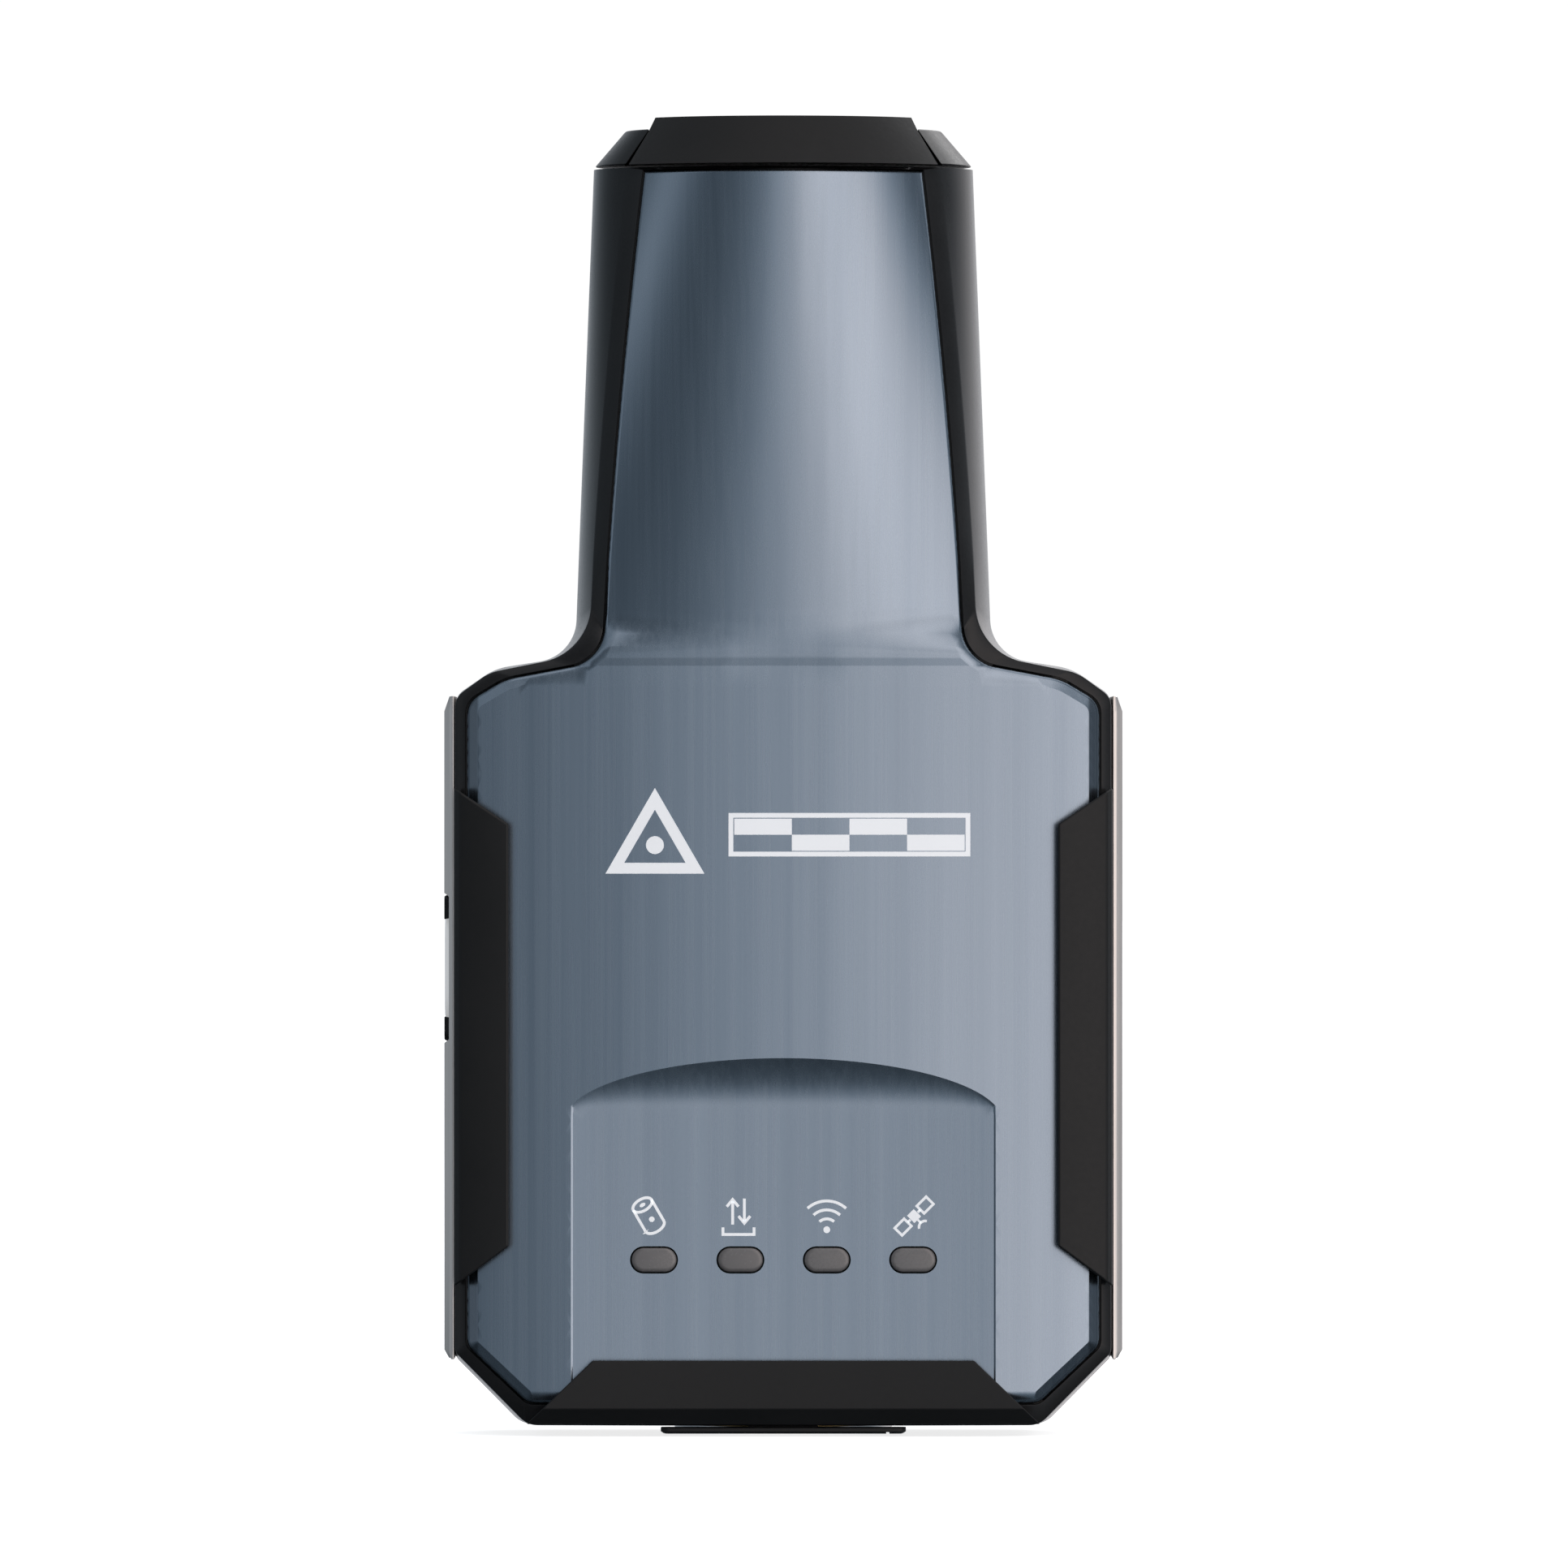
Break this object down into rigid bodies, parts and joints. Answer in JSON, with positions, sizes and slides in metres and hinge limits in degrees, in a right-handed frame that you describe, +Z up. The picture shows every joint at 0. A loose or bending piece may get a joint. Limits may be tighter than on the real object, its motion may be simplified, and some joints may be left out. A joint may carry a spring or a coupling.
{
  "type": "handheld gnss receiver",
  "caption": "Pocket surveying receiver: flat hand-held body, round helical-antenna neck, rubber corner pads, row of status lights, side power button and a pole thread in the foot.",
  "frame": {"origin": "middle of the footprint, on the plane the foot stands on", "axes": "+Z up along the antenna neck, -Y is the front with the status lights, +X is the right-hand side seen from the front"},
  "size_m": [0.0722, 0.0405, 0.1398],
  "materials": {
    "cover_paint": "satin metallic blue-grey with a fine vertical brushing",
    "black_plastic": "fine-grained black moulding",
    "black_rubber": "soft matt black elastomer",
    "rail_trim": "satin light-grey trim",
    "button_white": "near-white satin moulding",
    "lens_grey": "smoked grey light pipe",
    "aluminium": "turned, fine concentric lines",
    "brass": "turned",
    "steel": "zinc-plated",
    "pcb_green": "solder resist",
    "shield": "tinned sheet",
    "white_part": "natural white",
    "cell_wrap": "shrink-wrapped blue",
    "copper": "bare copper strip",
    "wire_red": "insulated lead",
    "coax_jacket": "black jacket",
    "seal_grey": "silicone cord",
    "silver_label": "blank silver plate"
  },
  "bodies": {
    "receiver": {"front_cover": "cover_paint", "front_housing": "black_plastic", "rear_housing": "black_plastic", "top_cap": "black_plastic", "top_pad": "black_rubber", "left_side_pad": "black_rubber", "right_side_pad": "black_rubber", "bottom_pad": "black_rubber", "left_rail": "rail_trim", "right_rail": "rail_trim", "button_bezel": "black_plastic", "led_lens_battery": "lens_grey", "led_lens_data": "lens_grey", "led_lens_wireless": "lens_grey", "led_lens_satellite": "lens_grey", "led_chip_battery": "white_part", "led_chip_data": "white_part", "led_chip_wireless": "white_part", "led_chip_satellite": "white_part", "foot_plate": "aluminium", "pole_insert": "brass", "insert_cap": "black_plastic", "usb_receptacle": "steel", "usb_tongue": "black_plastic", "main_pcb": "pcb_green", "gnss_module": "shield", "radio_module": "shield", "processor_chip": "black_plastic", "switch_body": "black_plastic", "switch_board": "pcb_green", "battery_cell_left": "cell_wrap", "battery_cell_right": "cell_wrap", "battery_tray": "black_plastic", "battery_lead": "wire_red", "battery_connector": "white_part", "antenna_former": "white_part", "antenna_board": "pcb_green", "antenna_top_board": "pcb_green", "helix_arm_1": "copper", "helix_arm_2": "copper", "helix_arm_3": "copper", "helix_arm_4": "copper", "antenna_bracket": "black_plastic", "antenna_coax": "coax_jacket", "housing_seal": "seal_grey", "screw_upper_left": "steel", "screw_upper_right": "steel", "screw_lower_left": "steel", "screw_lower_right": "steel", "rating_plate": "silver_label"},
    "port_cover": {"port_cover": "black_rubber"},
    "power_button": {"power_button": "button_white"},
    "switch_plunger": {"switch_plunger": "white_part"}
  },
  "joints": [
    {"name": "power_button_press", "type": "slide", "parent": "receiver", "child": "power_button", "axis": [1, 0, 0], "range_m": [0, 0.00045], "stiffness_N_per_m": 30, "springref_m": -0.0003},
    {"name": "switch_plunger_travel", "type": "slide", "parent": "receiver", "child": "switch_plunger", "axis": [1, 0, 0], "range_m": [0, 0.00045]},
    {"name": "port_cover_swing", "type": "hinge", "parent": "receiver", "child": "port_cover", "pos_m": [-0.013, -0.01155, 0.0004], "axis": [0, 1, 0], "range_deg": [0, 120]}
  ],
  "couplings": [
    {"joint": "switch_plunger_travel", "follows": "power_button_press", "ratio": 1}
  ]
}
